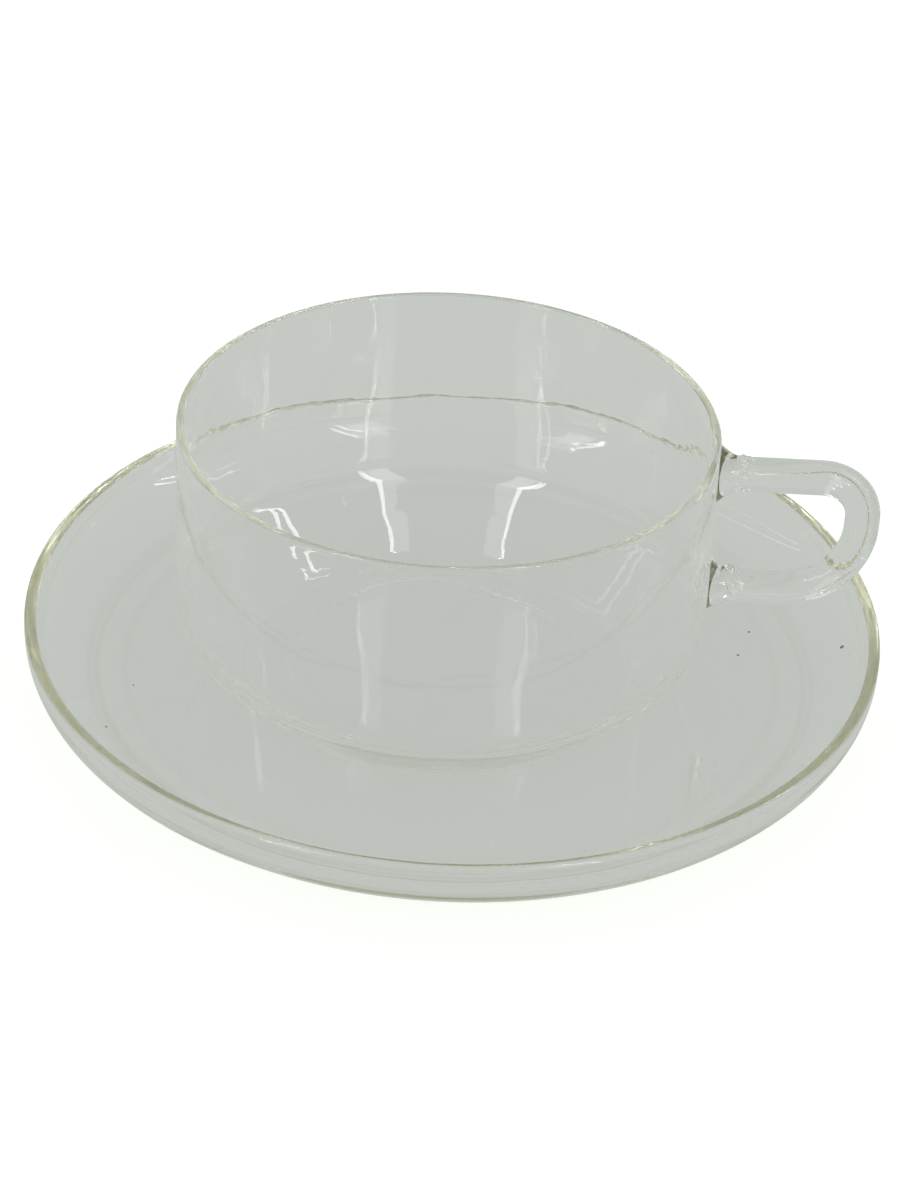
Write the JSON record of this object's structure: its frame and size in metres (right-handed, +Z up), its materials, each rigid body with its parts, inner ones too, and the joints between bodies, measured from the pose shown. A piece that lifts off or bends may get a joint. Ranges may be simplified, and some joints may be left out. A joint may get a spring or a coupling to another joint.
{
  "type": "clear glass tea cup on its saucer",
  "caption": "Thin clear glass tea cup with straight sides, a slope in to its flat base and a fused rod handle, standing on a clear glass saucer with an upturned wall.",
  "frame": {"origin": "middle of the saucer's flat foot, on the surface that the saucer stands on", "axes": "+Z up out of the cup; +X towards the cup's handle; +Y away from the side that is seen"},
  "size_m": [0.16, 0.16, 0.0568],
  "materials": {
    "saucer_glass": "clear pressed glass with a fire-polished lip and a faint grey-green tint at its edges",
    "cup_glass": "clear blown glass, slightly wavy, with a fire-polished rim"
  },
  "bodies": {
    "root": {"saucer": "saucer_glass", "cup": "cup_glass"}
  },
  "joints": []
}
